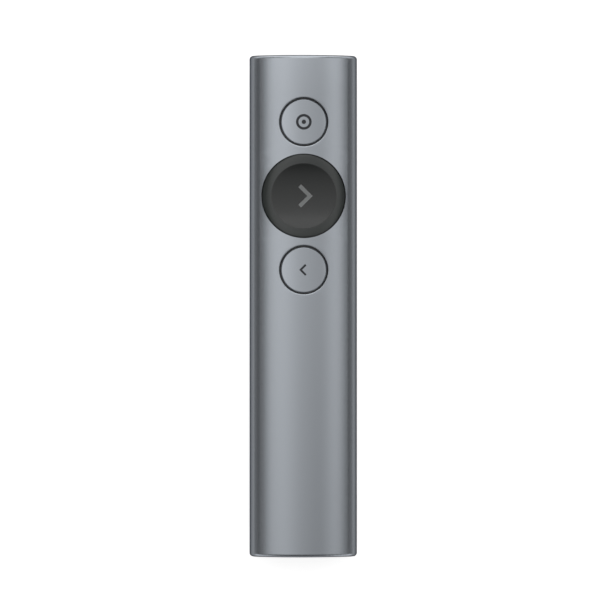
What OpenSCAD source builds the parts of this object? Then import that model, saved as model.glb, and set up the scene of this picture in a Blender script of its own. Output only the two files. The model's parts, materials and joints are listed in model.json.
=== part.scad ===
// Wireless presentation clicker, lying on its back with the buttons up.
// X runs across it, Y runs along it with the nose at +Y, and Z is up from the surface it rests on.
// The origin is the middle of the footprint, at the height of the resting land. Sizes are in millimetres.

/* [Housing] */
// Length from nose to tail
body_len = 130.8; // [128:0.1:138]
// Width across the rounded long edges
body_w = 28.1; // [27.8:0.1:29.5]
// Height from the resting land to the crown
body_h = 12.1; // [12:0.1:12.8]
// Wall of the extruded tube
wall = 1.1; // [1:0.05:1.2]
// Rounding of the rims at both ends of the tube
end_round = 0.9; // [0.3:0.05:0.9]
// Clearance all round a part that is pushed into the tube
push_fit = 0.05; // [0.03:0.01:0.07]

/* [Buttons] */
// Distance of the middle button from the nose
next_from_nose = 36.7; // [36:0.1:39]
// Distance from one button's centre to the next one's
button_pitch = 19.25; // [19.2:0.05:20.5]
// Diameter of the hole for the pointer button and for the back button
small_hole_d = 12.6; // [12.3:0.1:12.9]
// Gap all round a small button
small_gap = 0.4; // [0.3:0.05:0.5]
// Diameter of the hole for the big middle button
next_hole_d = 22; // [21.2:0.1:22]
// Gap all round the middle button
next_gap = 0.25; // [0.2:0.05:0.4]
// Bevel round the edge of the two small holes
hole_bevel = 0.3; // [0.2:0.05:0.35]
// Bevel round the edge of a small button
cap_bevel = 0.15; // [0.1:0.05:0.2]
// Diameter of the thumb dish in the middle button
dish_d = 16.9; // [16:0.1:17.4]
// Fall of the middle button's rim from the dish to its edge
rim_fall = 0.15; // [0.1:0.05:0.4]
// Travel of the pointer button and of the back button
small_travel = 0.4; // [0.3:0.05:0.5]
// Travel of the middle button
next_travel = 0.5; // [0.4:0.05:0.55]
// How far a button's flange reaches under the edge of its hole
flange_lip = 0.75; // [0.6:0.05:0.8]
// Thickness of the flanges
flange_t = 0.9; // [0.8:0.05:1]
// Play between a resting flange and the tube
flange_gap = 0.1; // [0.06:0.01:0.12]
// Diameter of the guide pegs under the buttons
peg_d = 1.6; // [1.4:0.1:1.7]
// Radial clearance of a peg in its bore, and of a plunger in its switch
slide_fit = 0.05; // [0.03:0.01:0.08]

/* [Inside] */
// Thickness of the chassis floor
floor_t = 0.8; // [0.7:0.05:0.9]
// Width of the chassis's side rails, which carry the board
rail_w = 3.3; // [2.9:0.05:3.4]
// Thickness of the plate of the button frame
frame_t = 1.2; // [1:0.05:1.3]
// Room between the wall of the tube and either edge of the main circuit board
board_gap = 1.75; // [1.65:0.05:1.95]
// Thickness of the main circuit board
board_t = 0.8; // [0.8:0.05:1]
// Length of the battery
battery_len = 36; // [30:0.5:37]
// Room between the battery and either side rail, where the frame's screws pass
battery_side = 2.9; // [2.8:0.05:3.5]
// Thickness of the battery
battery_t = 2.7; // [2.3:0.1:2.8]
// Diameter of the vibration motor
motor_d = 8; // [7:0.1:8.2]
// Height of the vibration motor
motor_h = 2.6; // [2.2:0.1:2.8]
// Side of a switch body
switch_w = 4.5; // [4:0.1:5]
// Height of a switch body
switch_h = 1.5; // [1.4:0.05:1.55]
// Height that a plunger keeps above its switch at full press
plunger_up = 0.1; // [0.05:0.01:0.15]

/* [Receiver] */
// Width of the receiver
rx_w = 18.9; // [18.4:0.1:19.1]
// Thickness of the receiver
rx_h = 6.9; // [6.8:0.1:7.1]
// Length of the receiver's body without its plug
rx_len = 28.5; // [26:0.5:30]
// Wall of the receiver's shells
rx_wall = 0.9; // [0.8:0.05:1]
// Gap all round the receiver in its bay
rx_gap = 0.2; // [0.15:0.01:0.25]
// Length of the plug outside the receiver's body
plug_len = 12; // [11.5:0.1:12.5]
// Thickness of the wall at the inner end of the bay
bay_wall = 2.2; // [2:0.1:2.5]

/* [Hidden] */
$fn = 64;
long_arc_steps = 360;
// Steps round the rounded rims: along an edge arc, along a long arc, and from skin to end face
edge_steps = 12;
arc_steps = 16;
rim_steps = 5;
// Share of an edge arc's radius that its inner disc has
seam_share = 0.9;
// Overlap that lets one solid cut or join another cleanly
cut = 0.05;
// How far a cutting solid stands clear of what it shapes
clear = 1;
// Facets round a surface that follows the crown round a button
saddle_steps = 72;

// Places along the length
nose_y = body_len / 2;
tail_y = -body_len / 2;
next_y = nose_y - next_from_nose;
pointer_y = next_y + button_pitch;
back_y = next_y - button_pitch;

// Slopes at which the arcs of an oval meet, as run, rise and length of a right-angled triangle.
// Whole-number triangles keep every centre and radius a round number.
crown_slope = [5, 12, 13];
belly_slope = [8, 15, 17];

// Section of the housing
mid_z = body_h / 2;
edge_r = edge_radius(body_w, body_h);
crown_r = arc_radius(body_w, body_h, crown_slope);
crown_sink = crown_r - body_h / 2;

// Depths below the outer skin of the crown
flange_top = wall + flange_gap;
flange_low = flange_top + flange_t;
press_room = 0.25;
frame_top = flange_low + next_travel + press_room;
frame_low = frame_top + frame_t;
skin_fit = wall + push_fit;
floor_top = skin_fit + floor_t;

// Buttons
small_hole_r = small_hole_d / 2;
small_cap_r = small_hole_r - small_gap;
small_flange_r = small_hole_r + flange_lip;
next_hole_r = next_hole_d / 2;
next_cap_r = next_hole_r - next_gap;
next_flange_r = next_hole_r + flange_lip;
dish_r = dish_d / 2;
dish_depth = crown_r - sqrt(crown_r * crown_r - dish_r * dish_r);
// The rim starts to fall a little way outside the dish
rim_in_r = dish_r + 0.15;
// The middle button's flange is trimmed beside the hole, before the crown's arc ends
flange_trim = 0.55;
next_flange_half = (crown_r - flange_low) * crown_slope[0] / crown_slope[2] - flange_trim;
small_peg_r = 5.4;
next_peg_x = 5.8;
next_peg_y = 7.6;
peg_below_frame = 0.2;
small_pegs = [[0, small_peg_r], [0, -small_peg_r]];
next_pegs = [for (sx = [-1, 1], sy = [-1, 1]) [sx * next_peg_x, sy * next_peg_y]];
post_d = 3;
post_hole_d = 6;

// Circuit board and switches
board_low = mid_z - board_t / 2;
board_top = mid_z + board_t / 2;
plunger_d = 1.8;
switch_floor = 0.2;
// Room left under a plunger at full press
plunger_play = 0.05;
switch_top = board_top + switch_h;

// Nose cap and what shines through it
cap_recess = 0.2;
cap_plate_t = 1.6;
cap_skirt = 2;
cap_skirt_t = 1;
cap_face_y = nose_y - cap_recess;
cap_back_y = cap_face_y - cap_plate_t;
cap_end_y = cap_back_y - cap_skirt;
led_w = 1.6;
led_depth = 1.4;
led_h = 1;
led_z = board_top + led_h / 2;
pipe_d = 1.8;
pipe_flange_d = 3;
pipe_flange_t = 0.8;

// Receiver bay and socket
rx_end_y = tail_y + rx_len;
plug_w = 12;
plug_h = 4.5;
plug_t = 0.3;
plug_round = 0.6;
// Latch windows in the plug's two wide faces: place of their centres, size, and distance from the tip
plug_window_x = 3;
plug_window_w = 2.4;
plug_window_len = 2;
plug_window_back = 4.8;
plug_tip_y = rx_end_y + plug_len;
plug_to_socket = 0.75;
bay_floor_y = plug_tip_y + plug_to_socket;
bay_back_y = bay_floor_y + bay_wall;
sleeve_recess = 0.2;
sleeve_skin = 1;
socket_w = 8.94;
socket_h = 3.26;
socket_len = 7.35;
socket_t = 0.25;
socket_back_y = bay_floor_y + socket_len;
socket_tongue_w = 6.7;
socket_tongue_t = 0.7;
socket_base = 1.6;
socket_lip = 0.6;
socket_gap = 0.1;

// Board outline
board_nose_gap = 0.85;
board_tail_gap = 0.3;
board_w = body_w - 2 * (wall + board_gap);
board_nose_y = cap_end_y - board_nose_gap;
board_tail_y = bay_back_y + board_tail_gap;
led_y = board_nose_y - led_depth;

// Button frame: how far it reaches past the outer buttons, and where its screws stand
frame_nose_reach = 12;
frame_tail_reach = 9.2;
frame_nose_y = pointer_y + frame_nose_reach;
frame_tail_y = back_y - frame_tail_reach;
frame_screw_inset = 5.85;
frame_screw_x = body_w / 2 - frame_screw_inset;
frame_end_screw = 2.4;
frame_mid_screw = 11.4;
frame_screw_ys = [frame_nose_y - frame_end_screw, next_y - frame_mid_screw];
frame_pad_d = 4;
frame_rail = 0.6;
frame_hollow_w = 2 * (frame_screw_x + frame_rail);
screw_d = 1.3;
screw_fit = 0.05;
screw_head_d = 2;
screw_head_t = 0.7;
screw_tip_gap = 0.2;
frame_screw_reach = 1.1;

// Screws that hold the sleeve to the chassis
sleeve_screw_x = 6.2;
sleeve_screw_drop = 1.3;
sleeve_screw_z = mid_z - sleeve_screw_drop;
sleeve_head_t = 0.9;
sleeve_screw_reach = 5;
sleeve_tip_gap = 0.4;
sleeve_boss_w = 3.4;
sleeve_boss_len = 6;
sleeve_core_start = 6;
sleeve_core_floor = 2;

// Battery, motor and wiring in the chassis channel
channel_floor_z = floor_top;
channel_w = body_w - 2 * (skin_fit + rail_w);
battery_w = channel_w - 2 * battery_side;
battery_to_board = 0.3;
battery_to_socket = 6;
battery_z = board_low - battery_to_board - battery_t;
battery_y0 = socket_back_y + battery_to_socket;
battery_y1 = battery_y0 + battery_len;
battery_edge_r = 1;
pad_w = 8.4;
pad_margin = 3;
rib_t = 0.8;
rib_gap = 0.15;
motor_to_battery = 11;
motor_y = battery_y1 + motor_to_battery + motor_d / 2;
motor_pad_inset = 0.5;
lead_d = 0.7;
lead_x = 1.2;
connector_w = 4.6;
connector_len = 3.2;
connector_h = 1.3;
connector_to_battery = 3.6;
connector_y = battery_y1 + connector_to_battery;

// Parts on the main board, as width, length and height
radio_chip_size = [5, 5, 0.85];
radio_crystal_size = [2.5, 2, 0.6];
radio_crystal_gap = 0.6;
motion_sensor_size = [3, 2.5, 0.9];
aerial_gap = 0.4;
// The shield fills the room on the board between the socket and the button frame
coil_size = [3, 3, 1.2];
coil_gap = 1;
coil_edge = 1.2;
coil_x = board_w / 2 - coil_edge - coil_size[0] / 2;
shield_w = 2 * (coil_x - coil_size[0] / 2 - coil_gap);
shield_h = 1.6;
shield_gap = 1.2;
shield_y0 = socket_back_y + shield_gap;
shield_y1 = frame_tail_y - shield_gap;
shield_y = (shield_y0 + shield_y1) / 2;

// Receiver
end_cap_len = 3;
end_cap_y = tail_y + end_cap_len;
rx_round = 0.4;
rx_front_wall = 1.2;
rx_board_w = 14;
rx_board_t = 0.8;
rx_board_drop = 1.2;
rx_board_gap = 0.5;
rx_board_low = mid_z - rx_board_drop;
rx_board_top = rx_board_low + rx_board_t;
rx_rib_inset = 0.5;
rx_chip_size = [4, 4, 0.9];
rx_crystal_size = [2.5, 2, 0.6];
rx_crystal_gap = 3;
grip_w = 9;
grip_h = 1.8;
grip_depth = 1.6;
plug_root = 5;
plug_inner_y = rx_end_y - plug_root;
plug_base_len = 4;
plug_lip = 0.4;
plug_tongue_t = 1.9;
contact_w = 1;
contact_t = 0.1;
contact_tip_gap = 1.5;
contact_xs = [-3.5, -1, 1, 3.5];
rx_board_y0 = end_cap_y + rx_board_gap;
rx_chip_y = (rx_board_y0 + plug_inner_y) / 2;

// Colours
alloy_colour = [0.55, 0.57, 0.59];
dark_colour = [0.17, 0.18, 0.18];
black_colour = [0.10, 0.10, 0.11];
board_colour = [0.05, 0.30, 0.16];
steel_colour = [0.75, 0.75, 0.77];
gold_colour = [0.83, 0.68, 0.36];

// ---- Forms that several parts share ----

// Radius of the two edge arcs of an oval, from where its crown meets them
function edge_radius(w, h) =
    let (k = (crown_slope[2] - crown_slope[1]) / crown_slope[0]) (h / 2 - k * w / 2) / (1 - k);

// How far the centres of the edge arcs stand from the middle
function edge_reach(w, h) = w / 2 - edge_radius(w, h);

// Radius of a long arc that meets the edge arcs at a slope, and how far its centre is sunk
function arc_radius(w, h, slope) = edge_reach(w, h) * slope[2] / slope[0] + edge_radius(w, h);
function arc_sink(w, h, slope) = edge_reach(w, h) * slope[1] / slope[0];

// Height of the crown at x, or of a surface a given depth below its skin
function crown_z(x, depth = 0) = mid_z - crown_sink + sqrt((crown_r - depth) * (crown_r - depth) - x * x);

// Wedge of an oval that a long arc spans, from the centres of the edge arcs outwards
module arc_wedge(a, sink) {
    polygon([[-a, 0], [a, 0], [2 * a, sink], [-2 * a, sink]]);
}

// Wedge that is left at the side, between the upper and the lower arc
module edge_wedge(a, sink_up, sink_down) {
    polygon([[a, 0], [2 * a, sink_up], [4 * a, sink_up], [4 * a, -sink_down], [2 * a, -sink_down]]);
}

// Oval of two long arcs and two edge arcs, drawn inside its nominal size by inset.
// A belly that bulges below the nominal height is planed off flat there.
module oval(w, h, belly, inset = 0) {
    a = edge_reach(w, h);
    up_sink = arc_sink(w, h, crown_slope);
    low_sink = arc_sink(w, h, belly);
    intersection() {
        union() {
            intersection() {
                translate([0, -up_sink]) circle(arc_radius(w, h, crown_slope) - inset, $fn = long_arc_steps);
                arc_wedge(a, up_sink);
            }
            mirror([0, 1]) intersection() {
                translate([0, -low_sink]) circle(arc_radius(w, h, belly) - inset, $fn = long_arc_steps);
                arc_wedge(a, low_sink);
            }
            for (side = [0, 1]) mirror([side, 0]) {
                intersection() {
                    translate([a, 0]) circle(edge_radius(w, h) - inset);
                    edge_wedge(a, up_sink, low_sink);
                }
                // A disc inside the edge bridges the seams between the arcs
                translate([a, 0]) circle(seam_share * (edge_radius(w, h) - inset));
            }
        }
        translate([-w, inset - h / 2]) square([2 * w, 2 * h]);
    }
}

// The same oval as points, anticlockwise from the right-hand edge's lower end
function oval_points(w, h, belly, inset) =
    let (
        a = edge_reach(w, h),
        up = atan2(crown_slope[1], crown_slope[0]),
        down = atan2(belly[1], belly[0]),
        // Each arc: centre x, centre z, radius, first angle, last angle, steps
        arcs = [
            [a, 0, edge_radius(w, h), -down, up, edge_steps],
            [0, -arc_sink(w, h, crown_slope), arc_radius(w, h, crown_slope), up, 180 - up, arc_steps],
            [-a, 0, edge_radius(w, h), 180 - up, 180 + down, edge_steps],
            [0, arc_sink(w, h, belly), arc_radius(w, h, belly), 180 + down, 360 - down, arc_steps]
        ]
    )
    [for (arc = arcs, k = [0:arc[5] - 1])
        let (angle = arc[3] + (arc[4] - arc[3]) * k / arc[5], r = arc[2] - inset)
            [arc[0] + r * cos(angle), max(arc[1] + r * sin(angle), inset - h / 2)]];

// Section of the housing, drawn inside its skin by inset
module housing_oval(inset = 0) {
    oval(body_w, body_h, belly_slope, inset);
}

// Section of the receiver, or of its bay when inset is negative
module receiver_oval(inset = 0) {
    oval(rx_w, rx_h, crown_slope, inset);
}

// Extrudes a section along the length, centred at the mid height
module along_y(y0, y1) {
    translate([0, y1, mid_z]) rotate([90, 0, 0]) linear_extrude(y1 - y0) children();
}

// Rounded rim that closes the end of an oval bar, growing towards +Y from y
module oval_rim(w, h, belly, round) {
    // A hair of step keeps the rim's seat clear of the bar's own skin
    seat = 0.01;
    rings = concat([[seat, -cut]], [for (k = [0:rim_steps])
        let (angle = 90 * k / rim_steps) [max(seat, round * (1 - cos(angle))), round * sin(angle)]]);
    n = 2 * (edge_steps + arc_steps);
    last = len(rings) - 1;
    points = [for (ring = rings, p = oval_points(w, h, belly, ring[0])) [p[0], ring[1], mid_z + p[1]]];
    sides = [for (k = [0:last - 1], i = [0:n - 1], half = [0, 1])
        let (j = (i + 1) % n, near = k * n, far = (k + 1) * n)
            half ? [near + i, near + j, far + j] : [near + i, far + j, far + i]];
    near_end = [for (i = [n - 1:-1:0]) i];
    far_end = [for (i = [0:n - 1]) last * n + i];
    polyhedron(points, concat(sides, [near_end, far_end]));
}

// Oval bar with rounded rims at both ends
module oval_bar(w, h, belly, y0, y1, round) {
    along_y(y0 + round, y1 - round) oval(w, h, belly);
    translate([0, y1 - round, 0]) oval_rim(w, h, belly, round);
    translate([0, y0 + round, 0]) mirror([0, 1, 0]) oval_rim(w, h, belly, round);
}

// Block centred in x, from one y to another and from one z to another
module block(w, y0, y1, z0, z1) {
    translate([-w / 2, y0, z0]) cube([w, y1 - y0, z1 - z0]);
}

// Slice of the crown between two depths below its skin
module crown_slice(depth0, depth1, y, reach) {
    translate([0, y + reach, mid_z - crown_sink]) rotate([90, 0, 0]) linear_extrude(2 * reach) difference() {
        circle(crown_r - depth0, $fn = long_arc_steps);
        circle(crown_r - depth1, $fn = long_arc_steps);
    }
}

// Solid of rings that follow the crown: each ring is [radius, height above the skin]
module saddle_loft(rings, y) {
    n = saddle_steps;
    count = len(rings);
    points = concat(
        [for (ring = rings, i = [0:n - 1]) saddle_point(ring, i * 360 / n)],
        [[0, 0, crown_z(0) + rings[0][1]], [0, 0, crown_z(0) + rings[count - 1][1]]]
    );
    low = count * n;
    high = low + 1;
    sides = [for (k = [0:count - 2], i = [0:n - 1], half = [0, 1])
        let (j = (i + 1) % n, below = k * n, above = (k + 1) * n)
            half ? [below + i, above + i, above + j] : [below + i, above + j, below + j]];
    ends = [for (i = [0:n - 1], top = [0, 1])
        let (j = (i + 1) % n, base = (count - 1) * n)
            top ? [high, base + j, base + i] : [low, i, j]];
    translate([0, y, 0]) polyhedron(points, concat(sides, ends));
}
function saddle_point(ring, angle) =
    let (x = ring[0] * cos(angle)) [x, ring[0] * sin(angle), crown_z(x) + ring[1]];

// Upright round bar between two heights
module upright(d, z0, z1) {
    translate([0, 0, z0]) cylinder(d = d, h = z1 - z0);
}

// Round bar along Y between two places
module lengthwise(d, y0, y1) {
    translate([0, y1, 0]) rotate([90, 0, 0]) cylinder(d = d, h = y1 - y0);
}

// Flat bar with round ends, seen along Y
module round_rect(w, h, r) {
    square([w - 2 * r, h], center = true);
    square([w, h - 2 * r], center = true);
    for (sx = [0, 1], sy = [0, 1]) mirror([sx, 0]) mirror([0, sy])
        translate([w / 2 - r, h / 2 - r]) intersection() {
            circle(r);
            square(r);
        }
}

module stadium(w, h) {
    square([w - h, h], center = true);
    for (side = [0, 1]) mirror([side, 0]) translate([w / 2 - h / 2, 0]) intersection() {
        circle(d = h);
        translate([0, -h / 2]) square([h, h]);
    }
}

// ---- Housing ----

module housing_tube() {
    color(alloy_colour) difference() {
        oval_bar(body_w, body_h, belly_slope, tail_y, nose_y, end_round);
        along_y(tail_y - cut, nose_y + cut) housing_oval(wall);
        for (y = [pointer_y, back_y]) {
            translate([0, y, 0]) upright(small_hole_d, mid_z, body_h + clear);
            saddle_loft([
                [small_hole_r - cut, -hole_bevel - cut],
                [small_hole_r + hole_bevel + cut, cut],
                [small_hole_r + hole_bevel + cut, clear]
            ], y);
        }
        translate([0, next_y, 0]) upright(next_hole_d, mid_z, body_h + clear);
    }
}

module nose_cap() {
    color(dark_colour) difference() {
        along_y(cap_end_y, cap_face_y) housing_oval(skin_fit);
        along_y(cap_end_y - cut, cap_back_y) housing_oval(skin_fit + cap_skirt_t);
        translate([0, 0, led_z]) lengthwise(pipe_d + 2 * screw_fit, cap_back_y - cut, cap_face_y + cut);
    }
}

module light_pipe() {
    color("white") translate([0, 0, led_z]) {
        lengthwise(pipe_d, board_nose_y + cut, cap_face_y);
        lengthwise(pipe_flange_d, cap_back_y - pipe_flange_t, cap_back_y);
    }
}

module status_led() {
    color("ivory") block(led_w, led_y, board_nose_y, board_top, board_top + led_h);
}

// ---- Chassis, frame and board ----

module chassis() {
    color(black_colour) difference() {
        union() {
            difference() {
                along_y(bay_back_y, cap_end_y) housing_oval(skin_fit);
                block(body_w, bay_back_y - cut, cap_end_y + cut, board_low, body_h);
                intersection() {
                    along_y(bay_back_y - cut, cap_end_y + cut) housing_oval(floor_top);
                    block(channel_w, bay_back_y - 2 * cut, cap_end_y + 2 * cut, 0, body_h);
                }
            }
            chassis_ribs();
        }
        for (side = [-1, 1]) translate([side * sleeve_screw_x, 0, sleeve_screw_z])
            lengthwise(screw_d + 2 * screw_fit, bay_back_y - cut,
                bay_back_y + sleeve_screw_reach + sleeve_tip_gap);
    }
}

// Bosses for the sleeve's screws, ribs that hold the battery endwise, and a ring round the motor
module chassis_ribs() {
    intersection() {
        along_y(bay_back_y, cap_end_y) housing_oval(skin_fit);
        union() {
            for (side = [-1, 1]) translate([side * sleeve_screw_x, 0, 0])
                block(sleeve_boss_w, bay_back_y, bay_back_y + sleeve_boss_len, wall, board_low);
            for (y = [battery_y0 - rib_gap - rib_t, battery_y1 + rib_gap])
                block(channel_w, y, y + rib_t, wall, battery_z + battery_t / 2);
            translate([0, motor_y, 0]) difference() {
                upright(motor_d + 2 * rib_gap + 2 * rib_t, wall, channel_floor_z + motor_h / 2);
                upright(motor_d + 2 * rib_gap, channel_floor_z, body_h);
            }
        }
    }
}

module button_frame() {
    color(black_colour) difference() {
        union() {
            difference() {
                along_y(frame_tail_y, frame_nose_y) housing_oval(frame_top);
                intersection() {
                    crown_slice(frame_low, crown_r - clear, next_y, body_len);
                    block(frame_hollow_w, frame_tail_y - cut, frame_nose_y + cut, 0, body_h);
                }
            }
            intersection() {
                along_y(frame_tail_y, frame_nose_y) housing_oval(skin_fit);
                for (y = frame_screw_ys, side = [-1, 1]) translate([side * frame_screw_x, y, 0])
                    upright(frame_pad_d, board_top, body_h);
            }
        }
        block(body_w, frame_tail_y - cut, frame_nose_y + cut, 0, board_top);
        for (y = frame_screw_ys, side = [-1, 1]) translate([side * frame_screw_x, y, 0])
            upright(screw_d + 2 * screw_fit, 0, board_top + frame_screw_reach + screw_tip_gap);
        for (y = [pointer_y, next_y, back_y]) translate([0, y, 0]) upright(post_hole_d, 0, body_h);
        peg_bores(small_pegs, pointer_y);
        peg_bores(small_pegs, back_y);
        peg_bores(next_pegs, next_y);
    }
}

module peg_bores(pegs, y) {
    for (peg = pegs) translate([peg[0], y + peg[1], 0]) upright(peg_d + 2 * slide_fit, board_top, body_h);
}

module frame_screws() {
    color(steel_colour) for (y = frame_screw_ys, side = [-1, 1]) translate([side * frame_screw_x, y, 0]) {
        upright(screw_d, board_low, board_top + frame_screw_reach);
        upright(screw_head_d, board_low - screw_head_t, board_low);
    }
}

module main_board() {
    color(board_colour) difference() {
        block(board_w, board_tail_y, board_nose_y, board_low, board_top);
        block(socket_w + 2 * socket_gap, board_tail_y - cut, socket_back_y + socket_gap, 0, body_h);
        for (y = frame_screw_ys, side = [-1, 1]) translate([side * frame_screw_x, y, 0])
            upright(screw_d + 2 * screw_fit, 0, body_h);
    }
}

module tact_switch(y) {
    color(steel_colour) translate([0, y, 0]) difference() {
        block(switch_w, -switch_w / 2, switch_w / 2, board_top, switch_top);
        upright(plunger_d + 2 * slide_fit, board_top + switch_floor, switch_top + cut);
    }
}

module pointer_switch() { tact_switch(pointer_y); }
module next_switch() { tact_switch(next_y); }
module back_switch() { tact_switch(back_y); }

function plunger_top(travel) = switch_top + plunger_up + travel;

module plunger(y, travel) {
    color(black_colour) translate([0, y, 0])
        upright(plunger_d, board_top + switch_floor + plunger_play + travel, plunger_top(travel));
}

module pointer_plunger() { plunger(pointer_y, small_travel); }
module next_plunger() { plunger(next_y, next_travel); }
module back_plunger() { plunger(back_y, small_travel); }

// ---- Buttons ----

// Post that presses the switch, and the pegs that guide the button in its frame
module button_legs(pegs, y, travel) {
    root = flange_low - flange_t / 2;
    translate([0, y, 0]) upright(post_d, plunger_top(travel), crown_z(0, root));
    for (peg = pegs) translate([peg[0], y + peg[1], 0])
        upright(peg_d, crown_z(peg[0], frame_low) - peg_below_frame, crown_z(peg[0], root));
}

module small_button(y) {
    color(alloy_colour) {
        intersection() {
            crown_slice(0, flange_low, y, small_flange_r);
            translate([0, y, 0]) upright(2 * small_cap_r, mid_z, body_h + clear);
            saddle_loft([
                [small_cap_r + cut, -flange_low - clear],
                [small_cap_r + cut, -cap_bevel - cut],
                [small_cap_r - cap_bevel - clear, clear],
                [small_cap_r - cap_bevel - clear, 2 * clear]
            ], y);
        }
        intersection() {
            crown_slice(flange_top, flange_low, y, small_flange_r);
            translate([0, y, 0]) upright(2 * small_flange_r, mid_z, body_h + clear);
        }
        button_legs(small_pegs, y, small_travel);
    }
}

module pointer_button() { small_button(pointer_y); }
module back_button() { small_button(back_y); }

// Height of the middle button's rim above the crown at a distance from its centre
function rim_height(r) = -rim_fall * pow((r - rim_in_r) / (next_cap_r - rim_in_r), 2);

// The thumb dish is the crown's own arc turned a quarter and upside down, which makes its edge a circle
module next_button() {
    rim_out_r = next_cap_r + cut;
    color(dark_colour) difference() {
        union() {
            intersection() {
                crown_slice(-clear, flange_low, next_y, next_flange_r);
                translate([0, next_y, 0]) upright(2 * next_cap_r, mid_z, body_h + clear);
                saddle_loft(concat(
                    [[rim_out_r, -flange_low - clear]],
                    [for (k = [rim_steps:-1:0])
                        let (r = rim_in_r + (rim_out_r - rim_in_r) * k / rim_steps) [r, rim_height(r)]],
                    [[dish_r - clear, 0]]
                ), next_y);
            }
            intersection() {
                crown_slice(flange_top, flange_low, next_y, next_flange_r);
                translate([0, next_y, 0]) upright(2 * next_flange_r, mid_z, body_h + clear);
                block(2 * next_flange_half, next_y - next_hole_d, next_y + next_hole_d, 0, body_h);
            }
            button_legs(next_pegs, next_y, next_travel);
        }
        translate([0, next_y, body_h - dish_depth + crown_r]) rotate([0, 90, 0])
            cylinder(r = crown_r, h = body_w, center = true, $fn = long_arc_steps);
    }
}

// ---- Battery, motor and wiring ----

module battery() {
    color("silver") translate([0, battery_y0, battery_z]) cell(battery_w, battery_len, battery_t);
}

// Pouch cell: a slab with rounded long edges
module cell(w, len, t) {
    translate([0, len, t / 2]) rotate([90, 0, 0]) linear_extrude(len) round_rect(w, t, battery_edge_r);
}

module battery_pad() {
    color("white")
        block(pad_w, battery_y0 + pad_margin, battery_y1 - pad_margin, channel_floor_z, battery_z);
}

module battery_leads() {
    lead_z = battery_z + battery_t - lead_d;
    for (side = [-1, 1]) color(side < 0 ? "black" : "red") translate([side * lead_x, 0, lead_z])
        lengthwise(lead_d, battery_y1, connector_y);
}

module battery_connector() {
    color("ivory")
        block(connector_w, connector_y, connector_y + connector_len, board_low - connector_h, board_low);
}

module vibration_motor() {
    color(steel_colour) translate([0, motor_y, 0])
        upright(motor_d, channel_floor_z, channel_floor_z + motor_h);
}

module motor_pad() {
    color("dimgray") translate([0, motor_y, 0])
        upright(motor_d - 2 * motor_pad_inset, channel_floor_z + motor_h, board_low);
}

module motor_leads() {
    lead_y = motor_y + motor_d / 2 + rib_gap + rib_t + lead_d;
    lead_z = channel_floor_z + motor_h - lead_d;
    for (side = [-1, 1]) color(side < 0 ? "black" : "red") translate([side * lead_x, 0, 0]) {
        translate([0, 0, lead_z]) lengthwise(lead_d, motor_y + motor_d / 2, lead_y);
        translate([0, lead_y, 0]) upright(lead_d, lead_z, board_low);
    }
}

// ---- Parts on the main board ----

module board_part(size, x, y, z = board_top) {
    translate([x, y, 0]) block(size[0], -size[1] / 2, size[1] / 2, z, z + size[2]);
}

module radio_chip() {
    color(black_colour) board_part(radio_chip_size, 0, (next_y + back_y) / 2);
}

module radio_crystal() {
    from_chip = radio_chip_size[1] / 2 + radio_crystal_gap + radio_crystal_size[1] / 2;
    color(steel_colour) board_part(radio_crystal_size, 0, (next_y + back_y) / 2 + from_chip);
}

module motion_sensor() {
    color(black_colour) board_part(motion_sensor_size, 0, (next_y + pointer_y) / 2);
}

// Printed aerial: a track that runs to and fro across the nose end of the board
module antenna() {
    runs = 5;
    run_w = 9;
    track = 0.4;
    track_t = 0.05;
    run_pitch = 0.9;
    y0 = led_y - runs * run_pitch - aerial_gap;
    color(gold_colour) translate([0, 0, board_top]) linear_extrude(track_t) for (k = [0:runs - 1]) {
        translate([-run_w / 2, y0 + k * run_pitch]) square([run_w, track]);
        if (k < runs - 1) translate([(k % 2 == 0 ? run_w / 2 - track : -run_w / 2), y0 + k * run_pitch])
            square([track, run_pitch]);
    }
}

module charger_shield() {
    color(steel_colour) board_part([shield_w, shield_y1 - shield_y0, shield_h], 0, shield_y);
}

module charger_coil() {
    color("dimgray") board_part(coil_size, coil_x, shield_y);
}

// ---- Charging socket ----

module usb_c_shell() {
    color(steel_colour) difference() {
        along_y(bay_floor_y, socket_back_y) stadium(socket_w, socket_h);
        along_y(bay_floor_y - cut, socket_back_y + cut)
            stadium(socket_w - 2 * socket_t, socket_h - 2 * socket_t);
    }
}

module usb_c_tongue() {
    color(black_colour) {
        along_y(socket_back_y - socket_base, socket_back_y)
            stadium(socket_w - 2 * socket_t, socket_h - 2 * socket_t);
        along_y(bay_floor_y + socket_lip, socket_back_y - socket_base)
            square([socket_tongue_w, socket_tongue_t], center = true);
    }
}

// ---- Tail sleeve, which is the bay for the receiver ----

module tail_sleeve() {
    color(dark_colour) difference() {
        along_y(tail_y + sleeve_recess, bay_back_y) housing_oval(skin_fit);
        along_y(tail_y, bay_floor_y) receiver_oval(-rx_gap);
        sleeve_cores();
        along_y(bay_floor_y - cut, bay_back_y + cut)
            stadium(socket_w + 2 * socket_gap, socket_h + 2 * socket_gap);
        for (side = [-1, 1]) translate([side * sleeve_screw_x, 0, sleeve_screw_z]) {
            lengthwise(screw_d + 2 * screw_fit, bay_floor_y - cut, bay_back_y + cut);
            lengthwise(screw_head_d + 2 * screw_fit, bay_floor_y - cut, bay_floor_y + sleeve_head_t);
        }
    }
}

// Pockets that keep the sleeve's moulding to an even wall beside the bay
module sleeve_cores() {
    along_y(tail_y + sleeve_core_start, bay_floor_y - sleeve_core_floor) difference() {
        housing_oval(skin_fit + sleeve_skin);
        receiver_oval(-rx_gap - sleeve_skin);
        square([rx_w, body_h], center = true);
    }
}

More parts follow.
